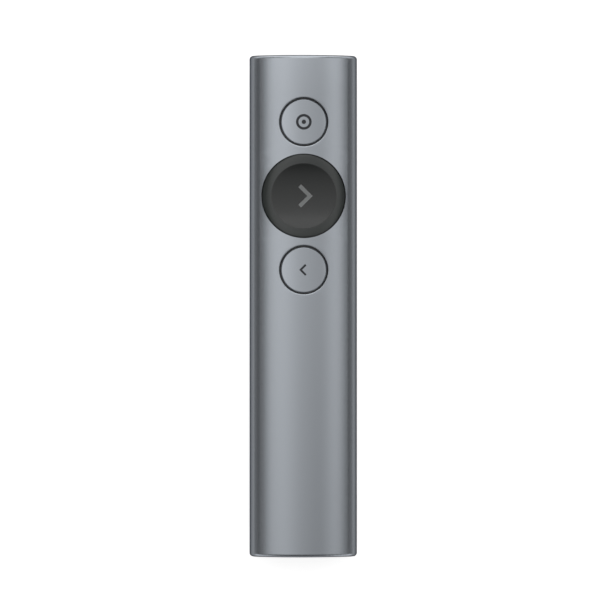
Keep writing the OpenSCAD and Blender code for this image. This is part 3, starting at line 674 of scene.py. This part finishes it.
def peg_tree():
    """Sets a round peg on each point, hanging down from it."""
    t = Tree("pegs", Diameter="Float", Length="Float")
    length = t.inputs["Length"]
    peg = t.add("GeometryNodeMeshCylinder", PEG_SIDES)
    t.put(peg.inputs["Radius"], t.sum("DIVIDE", t.inputs["Diameter"], 2))
    t.put(peg.inputs["Depth"], length)
    lowered = t.add("GeometryNodeTransform", peg.outputs["Mesh"])
    t.put(lowered.inputs["Translation"], t.vector(0, 0, t.sum("DIVIDE", length, -2)))
    points = t.add("GeometryNodeMeshToPoints", t.inputs["Geometry"]).outputs[0]
    stood = t.add("GeometryNodeInstanceOnPoints", points)
    t.put(stood.inputs["Instance"], lowered.outputs[0])
    return t.end(stood.outputs[0])


def point_line(name, points, joined=True):
    """Mesh of loose points, joined by edges in their order or not at all."""
    mesh = bpy.data.meshes.new(name)
    edges = [(k, k + 1) for k in range(len(points) - 1)] if joined else []
    mesh.from_pydata(points, edges, [])
    return new_piece(name, mesh)


def radii_to(radius, count):
    return [radius * k / count for k in range(1, count + 1)]


TURNED = turned_tree()
DISHED = dish_tree()
PEGGED = peg_tree()


def turn(name, profile, y, segments, finish):
    piece = point_line(name, [(radius, 0, height) for radius, height in profile])
    run_tree(piece, TURNED, Segments=segments, Middle=y, Crown_radius=HOUSING.crown_r, Crown_height=BODY_H,
             Finish=finish)
    return piece


def add_pegs(piece, places, top, low, diameter, finish):
    pegs = point_line("pegs", [(x, y, top) for x, y in places], joined=False)
    run_tree(pegs, PEGGED, Diameter=diameter, Length=top - low, Finish=finish)
    boolean(piece, pegs, "UNION")


def make_small_button(body, y):
    """Alloy cap, and the dark carrier under it with its flange, pegs and post."""
    edge = SMALL_EDGE_ROUND
    flat_r = SMALL_CAP_R - CAP_BEVEL
    top_radii = radii_to(flat_r - 2 * edge, SMALL_TOP_RINGS) + [flat_r - edge]
    under_radii = radii_to(SMALL_CAP_R, SMALL_UNDER_RINGS)
    profile = [(0, 0)] + [(r, 0) for r in top_radii]
    profile += [(flat_r, -edge / 3), (SMALL_CAP_R - edge / 3, -CAP_BEVEL), (SMALL_CAP_R, -CAP_BEVEL - edge)]
    profile += [(r, -FLANGE_TOP) for r in reversed(under_radii)] + [(0, -FLANGE_TOP)]
    cap = turn(body + "_cap", profile, y, SMALL_TURN_STEPS, alloy_cap)
    flange_radii = radii_to(SMALL_FLANGE_R, SMALL_FLANGE_RINGS)
    profile = [(0, -FLANGE_TOP)] + [(r, -FLANGE_TOP) for r in flange_radii]
    profile += [(r, -FLANGE_LOW) for r in reversed(flange_radii)] + [(0, -FLANGE_LOW)]
    carrier = turn(body + "_carrier", profile, y, SMALL_TURN_STEPS, moulded_grey)
    top = BODY_H - FLANGE_LOW + SMALL_PEG_ROOT
    pegs = [(0, y + side * SMALL_PEG_REACH) for side in (-1, 1)]
    add_pegs(carrier, pegs, top, corners(body + "_button")[0].z, PEG_D, moulded_grey)
    add_pegs(carrier, [(0, y)], top, corners(body + "_plunger")[1].z, POST_D, moulded_grey)
    settle(carrier, body, "black_plastic", moulded_grey, replaces=[body + "_button"])
    return cap


def next_profile():
    """Profile of the middle button's crown, rim, edge and flange, before the dish is pressed into it."""
    edge = NEXT_EDGE_ROUND
    band_r = DISH_R - DISH_BAND
    profile = [(0, 0)] + [(r, 0) for r in radii_to(band_r, NEXT_TOP_RINGS)]
    profile += [(band_r + DISH_RING * k, 0) for k in range(1, DISH_RINGS + 1)]
    rim_in, rim_out = profile[-1][0], NEXT_CAP_R - edge
    count = round((rim_out - rim_in) / RIM_RING)
    for r in [rim_in + (rim_out - rim_in) * k / count for k in range(1, count + 1)]:
        share = max(0.0, (r - RIM_START) / (NEXT_CAP_R - RIM_START))
        profile.append((r, -RIM_FALL * share ** 3))
    for k in range(1, NEXT_EDGE_STEPS + 1):
        angle = math.pi / 2 * k / NEXT_EDGE_STEPS
        profile.append((rim_out + edge * math.sin(angle), -RIM_FALL - edge * (1 - math.cos(angle))))
    profile += [(NEXT_CAP_R, -FLANGE_TOP), (NEXT_FLANGE_R, -FLANGE_TOP), (NEXT_FLANGE_R, -FLANGE_LOW)]
    under = reversed(radii_to(NEXT_FLANGE_R * NEXT_UNDER_SHARE, NEXT_UNDER_RINGS))
    return profile + [(r, -FLANGE_LOW) for r in under] + [(0, -FLANGE_LOW)]


def make_next_button():
    piece = turn("next_cap", next_profile(), NEXT_Y, NEXT_TURN_STEPS, soft_black)
    run_tree(piece, DISHED, Middle=NEXT_Y, Dish_floor=BODY_H - DISH_DEPTH, Arc_radius=HOUSING.crown_r,
             Edge_round=DISH_EDGE_ROUND, Finish=soft_black)
    trim = corners("next_button")[1].x
    reach = NEXT_FLANGE_R + CLEAR
    kept = block((-trim, NEXT_Y - reach, -CLEAR), (trim, NEXT_Y + reach, BODY_H + CLEAR))
    boolean(piece, kept, "INTERSECT")
    top = BODY_H - FLANGE_LOW + NEXT_PEG_ROOT
    pegs = [(sx * NEXT_PEG_X, NEXT_Y + sy * NEXT_PEG_Y) for sx in (-1, 1) for sy in (-1, 1)]
    add_pegs(piece, pegs, top - NEXT_PEG_DROP, corners("next_button")[0].z, PEG_D, soft_black)
    add_pegs(piece, [(0, NEXT_Y)], top, corners("next_plunger")[1].z, POST_D, soft_black)
    return piece


# ---- Nose cap, receiver and plug ----

SEAM = 0.08
SEAM_ROUND = 0.1
CAP_ROUND = 0.25
CAP_PLATE = 1.6
CAP_SKIRT = 1.0
PIPE_HOLE_D = 1.9
PIPE_FLARE = 0.15
RX_WALL = 0.9
RX_FRONT_WALL = 1.2
RX_ROUND = 0.4
RX_STEPS = {"crown_steps": 72, "edge_steps": 20, "belly_steps": 72}
GRIP_W, GRIP_H, GRIP_DEPTH = 9.0, 1.8, 1.6
GRIP_FLARE = 0.2
# How much shorter than the board its ribs are at either end
RIB_SHORT = 0.5
PLUG_WALL = 0.3
PLUG_ROUND = 0.6
PLUG_TIP_ROUND = 0.14
WINDOW_X, WINDOW_W, WINDOW_LENGTH, WINDOW_BACK = 3.0, 2.4, 2.0, 4.8
WINDOW_ROUND = 0.3
PLUG_JOINT = 0.07


def flared(low_y, mouth_y, outward_y, flare):
    """Stations of a cutter whose mouth widens, from deep inside to clear of the face."""
    neck_y = mouth_y - outward_y * flare
    clear_y = mouth_y + outward_y * CLEAR
    return [(low_y, 0), (neck_y, 0), (mouth_y, -flare), (clear_y, -flare)]


def make_nose_cap():
    low, high = corners("nose_cap")
    fit = (BODY_W - (high.x - low.x)) / 2

    def section(inset):
        return HOUSING.section(fit + inset, **TUBE_STEPS)

    cap = bar("nose_plate", section, bar_stations(low.y, high.y, SEAM_ROUND, CAP_ROUND))
    hollow = bar("hollow", section, [(low.y - CLEAR, CAP_SKIRT), (high.y - CAP_PLATE, CAP_SKIRT)])
    boolean(cap, hollow, "DIFFERENCE")
    pipe = round_section(PIPE_HOLE_D, PIPE_HOLE_D, PIPE_HOLE_D / 2)
    hole = bar("hole", pipe, flared(low.y - CLEAR, high.y, 1, PIPE_FLARE), centre("light_pipe").z)
    boolean(cap, hole, "DIFFERENCE")
    settle(cap, "casing", "dark_plastic", replaces=["nose_cap"])


def make_receiver():
    """Tail cap with its nail slot, and two half shells that part along the middle."""
    tail_low, tail_high = corners("receiver_end_cap")
    low, high = corners("receiver_top_shell")
    plug_low, plug_high = corners("plug_shell")
    oval = Oval(high.x - low.x, 2 * (high.z - MID_Z), CROWN_SLOPE)

    def section(inset):
        return oval.section(inset, **RX_STEPS)

    stations = bar_stations(tail_low.y, tail_high.y - SEAM / 2, RX_ROUND, SEAM_ROUND)
    cap = bar("receiver_tail_cap", section, stations)
    slot = round_section(GRIP_W, GRIP_H, GRIP_H / 2)
    boolean(cap, bar("slot", slot, flared(tail_low.y + GRIP_DEPTH, tail_low.y, -1, GRIP_FLARE)), "DIFFERENCE")
    settle(cap, "receiver", "black_plastic", replaces=["receiver_end_cap"])
    halves = (("receiver_upper_shell", "receiver_top_shell", MID_Z + SEAM / 2, BODY_H),
              ("receiver_lower_shell", "receiver_bottom_shell", 0, MID_Z - SEAM / 2))
    for name, node, low_z, high_z in halves:
        shell = bar(name, section, bar_stations(low.y + SEAM / 2, high.y, SEAM_ROUND, RX_ROUND))
        hollow = bar("hollow", section, [(low.y - CLEAR, RX_WALL), (high.y - RX_FRONT_WALL, RX_WALL)])
        boolean(shell, hollow, "DIFFERENCE")
        way = round_section(plug_high.x - plug_low.x, plug_high.z - plug_low.z, PLUG_ROUND)
        boolean(shell, bar("way", way, [(plug_low.y, 0), (high.y + CLEAR, 0)]), "DIFFERENCE")
        half = block((low.x - CLEAR, low.y - CLEAR, low_z), (high.x + CLEAR, high.y + CLEAR, high_z))
        boolean(shell, half, "INTERSECT")
        if node == "receiver_bottom_shell":
            add_ribs(shell, corners(node)[0].z)
        settle(shell, "receiver", "black_plastic", replaces=[node])


def add_ribs(shell, shell_low_z):
    """Two ribs that carry the receiver's board."""
    low, high = corners("receiver_board")
    reach = (high.x - low.x) / 3
    for middle in (-reach, reach):
        rib = block((middle - RX_WALL / 2, low.y + RIB_SHORT, shell_low_z + RX_WALL / 2),
                    (middle + RX_WALL / 2, high.y - RIB_SHORT, low.z))
        boolean(shell, rib, "UNION")


def make_plug():
    """Folded shell of the plug, with its latch windows and the joint along its underside."""
    low, high = corners("plug_shell")
    width, height = high.x - low.x, high.z - low.z
    shell = bar("plug_case", round_section(width, height, PLUG_ROUND),
                [(low.y, 0)] + end_stations(high.y, -1, PLUG_TIP_ROUND))
    bore = round_section(width - 2 * PLUG_WALL, height - 2 * PLUG_WALL, PLUG_ROUND - PLUG_WALL)
    boolean(shell, bar("bore", bore, [(low.y - CLEAR, 0), (high.y + CLEAR, 0)]), "DIFFERENCE")
    window = round_section(WINDOW_W, WINDOW_LENGTH, WINDOW_ROUND)
    window_y = high.y - WINDOW_BACK - WINDOW_LENGTH / 2
    for side in (-1, 1):
        cutter = upright_bar("window", window, side * WINDOW_X, window_y, low.z - CLEAR, high.z + CLEAR)
        boolean(shell, cutter, "DIFFERENCE")
    joint = block((-PLUG_JOINT / 2, low.y - CLEAR, low.z - CLEAR),
                  (PLUG_JOINT / 2, high.y + CLEAR, low.z + PLUG_WALL / 2))
    boolean(shell, joint, "DIFFERENCE")
    settle(shell, "receiver", "plated_steel", replaces=["plug_shell"])


# ---- Signs on the buttons ----

PROUD = 0.012
SUNK = 0.08
TARGET_INNER_R = 1.38
TARGET_OUTER_R = 2.04
TARGET_DOT_R = 0.58
RING_SIDES = 96
DOT_SIDES = 48
CHEVRON_STEPS = 20
BACK_CHEVRON = {"apex_x": -0.83, "half_height": 1.35, "stroke": 0.54}
NEXT_CHEVRON = {"apex_x": 1.62, "half_height": 2.67, "stroke": 1.0}


def print_tree():
    """Lays a flat shape on what lies below it, as a thin print that stands a little proud."""
    t = Tree("laid_print", Surface="Object", Proud="Float", Depth="Float")
    position = t.add("GeometryNodeInputPosition").outputs[0]
    surface = t.add("GeometryNodeObjectInfo", t.inputs["Surface"]).outputs["Geometry"]
    down = t.add("GeometryNodeRaycast", surface)
    t.put(down.inputs["Source Position"], position)
    t.put(down.inputs["Ray Direction"], (0, 0, -1))
    lift = t.vector(0, 0, t.inputs["Proud"])
    laid = t.add("GeometryNodeSetPosition", t.inputs["Geometry"], None, down.outputs["Hit Position"], lift)
    under = t.add("GeometryNodeFlipFaces", laid.outputs[0]).outputs[0]
    wall = t.add("GeometryNodeExtrudeMesh", under)
    t.put(wall.inputs["Offset"], t.vector(0, 0, -1))
    t.put(wall.inputs["Offset Scale"], t.inputs["Depth"])
    t.put(wall.inputs["Individual"], False)
    both = t.add("GeometryNodeJoinGeometry")
    t.tree.links.new(wall.outputs["Mesh"], both.inputs[0])
    t.tree.links.new(laid.outputs[0], both.inputs[0])
    merged = t.add("GeometryNodeMergeByDistance", both.outputs[0])
    t.put(merged.inputs["Distance"], MERGE)
    return t.end(merged.outputs[0])


PRINTED = print_tree()


def plan_faces(bm, rows, closed=False):
    """Flat faces over rows of plan points; closed joins the last row to the first."""
    made = [[bm.verts.new((x, y, BODY_H + CLEAR)) for x, y in row] for row in rows]
    pairs = list(zip(made, made[1:]))
    if closed:
        pairs.append((made[-1], made[0]))
    for row, following in pairs:
        for a in range(len(row) - 1):
            bm.faces.new((row[a], row[a + 1], following[a + 1], following[a]))


def ring_rows(inner, outer, y, sides):
    """Rows of plan points round a ring."""
    rows = []
    for k in range(sides):
        angle = 2 * math.pi * k / sides
        radii = (inner, (inner + outer) / 2, outer)
        rows.append([(r * math.cos(angle), y + r * math.sin(angle)) for r in radii])
    return rows


def chevron_rows(y, apex_x, half_height, stroke):
    """Rows of plan points across a chevron's stroke. Its arms run at 45 degrees from the apex, which points
    away from the middle, and end square."""
    facing = math.copysign(1, apex_x)
    square = stroke / (2 * math.sqrt(2))
    mitre = stroke / math.sqrt(2)
    rows = []
    for k in range(-CHEVRON_STEPS, CHEVRON_STEPS + 1):
        share = abs(k) / CHEVRON_STEPS
        side = math.copysign(1, k)
        row = []
        for edge in (-1, 0, 1):
            start = Vector((apex_x + facing * edge * mitre, 0))
            end_x = apex_x - facing * (half_height - edge * square)
            end = Vector((end_x, side * (half_height + edge * square)))
            spot = start.lerp(end, share)
            row.append((spot.x, y + spot.y))
        rows.append(row)
    return rows


def lay_print(name, bm, cap, body, finish):
    """Lays the faces on a cap that is still in millimetres."""
    piece = new_piece(name, finish_mesh(bm, name))
    run_tree(piece, PRINTED, Surface=cap, Proud=PROUD, Depth=PROUD + SUNK, Finish=finish)
    settle(piece, body, "soft_black", finish)


def make_target(cap):
    bm = bmesh.new()
    plan_faces(bm, ring_rows(TARGET_INNER_R, TARGET_OUTER_R, POINTER_Y, RING_SIDES), closed=True)
    plan_faces(bm, ring_rows(0, TARGET_DOT_R, POINTER_Y, DOT_SIDES), closed=True)
    lay_print("pointer_sign", bm, cap, "pointer", print_dark)


def make_chevron(cap, body, y, sizes, finish):
    bm = bmesh.new()
    plan_faces(bm, chevron_rows(y, **sizes))
    lay_print(body + "_sign", bm, cap, body, finish)


def make_buttons():
    """Caps first, then the prints that lie on them, and then the caps go to metres."""
    pointer_cap = make_small_button("pointer", POINTER_Y)
    make_target(pointer_cap)
    settle(pointer_cap, "pointer", "alloy_cap", sharp_angle=SMALL_SHARP_ANGLE)
    back_cap = make_small_button("back", BACK_Y)
    make_chevron(back_cap, "back", BACK_Y, BACK_CHEVRON, print_dark)
    settle(back_cap, "back", "alloy_cap", sharp_angle=SMALL_SHARP_ANGLE)
    next_cap = make_next_button()
    make_chevron(next_cap, "next", NEXT_Y, NEXT_CHEVRON, print_grey)
    settle(next_cap, "next", "soft_black", replaces=["next_button"], sharp_angle=NEXT_SHARP_ANGLE)


# ---- Studio, with its lengths in metres ----

CAMERA_DISTANCE = 1.0
CAMERA_LEAN = math.radians(1.5)
# Width of the camera's sensor in millimetres, and the nearest and farthest thing it sees
CAMERA_SENSOR = 36
CAMERA_CLIP = (0.05, 50)
AIM = Vector((-0.84, 1.61, MID_Z)) * MM
PIXELS_PER_METRE = 3822
PICTURE = 600
FLOOR_PAPER = 0.55
FLOOR_LIFT = 0.72
# Share of the floor's glow that glossy reflections show
GLOSSY_SHARE = 0.3
FLOOR_REACH = 6
# How far the floor lies under the part, in millimetres, so that no two faces coincide
FLOOR_DROP = 0.05
# Two heights of the direction of view, and the strengths of the surroundings there
WORLD_FADE = (0.05, 0.65, 0.43, 0.17)
# Width, height and brightness of the upright lamps, and their distances
NOSE_LIGHT = (0.9, 2.3, 1.6)
NOSE_DISTANCE = 1.0
CORNER_LIGHT = (1.5, 1.3, 1.0)
CORNER_DISTANCE = 1.3
PANEL_HEIGHT = 3.0
# Edges of the panel, as angles from the vertical
PANEL_LEFT = -37
PANEL_RIGHT = 43
PANEL_TAIL = -24
PANEL_NOSE = 26
# Brightness that is added at the panel's tail and at its nose
PANEL_RISE = (-0.4, 0.5)
# Brightness of the panel at a few angles: even on the left, falling past the middle, bright near the right
PANEL_LEVELS = ((-37, 1.15), (-18, 1.15), (-2, 0.79), (20, 0.59), (32, 1.07))


def make_camera():
    camera = bpy.data.cameras.new("camera")
    camera.sensor_width = CAMERA_SENSOR
    camera.lens = CAMERA_SENSOR * CAMERA_DISTANCE * PIXELS_PER_METRE / PICTURE
    camera.clip_start, camera.clip_end = CAMERA_CLIP
    holder = bpy.data.objects.new("camera", camera)
    away = Vector((-math.sin(CAMERA_LEAN), 0, math.cos(CAMERA_LEAN)))
    holder.location = AIM + away * CAMERA_DISTANCE
    holder.rotation_euler = (0, -CAMERA_LEAN, 0)
    bpy.context.scene.collection.objects.link(holder)
    bpy.context.scene.camera = holder


def soft_light(name, place, facing, width, height, brightness):
    """Rectangular lamp of even brightness, where 1 lights a white face that fills its view to white."""
    light = bpy.data.lights.new(name, "AREA")
    light.shape = "RECTANGLE"
    light.size = width
    light.size_y = height
    light.energy = brightness * math.pi * width * height
    holder = bpy.data.objects.new(name, light)
    holder.location = place
    holder.rotation_euler = (-Vector(facing)).to_track_quat("Z", "Y").to_euler()
    holder.visible_camera = False
    bpy.context.scene.collection.objects.link(holder)
    return light


def overhead_panel():
    """Level panel whose brightness follows PANEL_LEVELS across, with PANEL_RISE added from tail to nose."""
    left, right = math.tan(math.radians(PANEL_LEFT)), math.tan(math.radians(PANEL_RIGHT))
    tail, nose = math.tan(math.radians(PANEL_TAIL)), math.tan(math.radians(PANEL_NOSE))
    place = Vector(((left + right) / 2, (tail + nose) / 2, 1)) * PANEL_HEIGHT
    brightest = max(level for angle, level in PANEL_LEVELS)
    width, length = (right - left) * PANEL_HEIGHT, (nose - tail) * PANEL_HEIGHT
    panel = soft_light("overhead_panel", place, (0, 0, -1), width, length, brightest)
    panel.use_nodes = True
    nodes, links = panel.node_tree.nodes, panel.node_tree.links
    split = nodes.new("ShaderNodeSeparateXYZ")
    links.new(nodes.new("ShaderNodeNewGeometry").outputs["Parametric"], split.inputs[0])
    across = nodes.new("ShaderNodeValToRGB")
    # A new ramp has two stops already
    stops = across.color_ramp.elements
    for k, (angle, level) in enumerate(PANEL_LEVELS):
        share = (math.tan(math.radians(angle)) - left) / (right - left)
        stop = stops[k] if k < len(stops) else stops.new(share)
        stop.position = share
        stop.color = (*(level / brightest,) * 3, 1)
    links.new(split.outputs["X"], across.inputs["Fac"])
    along = nodes.new("ShaderNodeMapRange")
    tail_rise, nose_rise = PANEL_RISE
    along.inputs["To Min"].default_value = tail_rise / brightest
    along.inputs["To Max"].default_value = nose_rise / brightest
    links.new(split.outputs["Y"], along.inputs["Value"])
    total = shader_sum(panel.node_tree, "ADD", across.outputs["Color"], along.outputs["Result"])
    links.new(total, nodes["Emission"].inputs["Strength"])


def make_floor():
    """White paper with a glow that keeps it white round the shadow. The camera sees all of the glow, glossy
    reflections a share of it and the matt surfaces none."""
    mesh = bpy.data.meshes.new("floor")
    bm = bmesh.new()
    bmesh.ops.create_grid(bm, x_segments=1, y_segments=1, size=FLOOR_REACH)
    bmesh.ops.translate(bm, vec=(0, 0, -FLOOR_DROP * MM), verts=bm.verts)
    bm.to_mesh(mesh)
    bm.free()
    paper = principled("floor_paper", (FLOOR_PAPER,) * 3, roughness=0.9)
    tree = paper.node_tree
    nodes, links = tree.nodes, tree.links
    ray = nodes.new("ShaderNodeLightPath").outputs
    seen = shader_sum(tree, "MULTIPLY", ray["Is Glossy Ray"], GLOSSY_SHARE)
    for kind in ("Is Camera Ray", "Is Transmission Ray"):
        seen = shader_sum(tree, "MAXIMUM", seen, ray[kind])
    lift = nodes.new("ShaderNodeEmission")
    links.new(shader_sum(tree, "MULTIPLY", seen, FLOOR_LIFT), lift.inputs["Strength"])
    both = nodes.new("ShaderNodeAddShader")
    links.new(nodes["Principled BSDF"].outputs["BSDF"], both.inputs[0])
    links.new(lift.outputs["Emission"], both.inputs[1])
    links.new(both.outputs["Shader"], nodes["Material Output"].inputs["Surface"])
    mesh.materials.append(paper)
    new_piece("floor", mesh)


def make_world():
    """Surroundings that darken upwards from the horizon."""
    world = bpy.data.worlds.new("studio")
    bpy.context.scene.world = world
    world.use_nodes = True
    nodes, links = world.node_tree.nodes, world.node_tree.links
    place = nodes.new("ShaderNodeTexCoord")
    split = nodes.new("ShaderNodeSeparateXYZ")
    links.new(place.outputs["Generated"], split.inputs[0])
    fade = nodes.new("ShaderNodeMapRange")
    for socket, value in zip(("From Min", "From Max", "To Min", "To Max"), WORLD_FADE):
        fade.inputs[socket].default_value = value
    links.new(split.outputs["Z"], fade.inputs["Value"])
    links.new(fade.outputs["Result"], nodes["Background"].inputs["Strength"])
    nodes["Background"].inputs["Color"].default_value = (1, 1, 1, 1)


def make_studio():
    make_floor()
    make_world()
    overhead_panel()
    width, height, brightness = NOSE_LIGHT
    soft_light("nose_light", (0, NOSE_DISTANCE, height / 2), (0, -1, 0), width, height, brightness)
    width, height, brightness = CORNER_LIGHT
    for side, end in ((-1, -1), (-1, 1), (1, -1), (1, 1)):
        away = Vector((side, end, 0))
        place = away * CORNER_DISTANCE + Vector((0, 0, height / 2))
        soft_light("corner_light", place, -away, width, height, brightness)


bpy.context.scene.view_settings.view_transform = "Standard"
make_camera()
make_tube()
make_buttons()
make_nose_cap()
make_receiver()
make_plug()
make_studio()
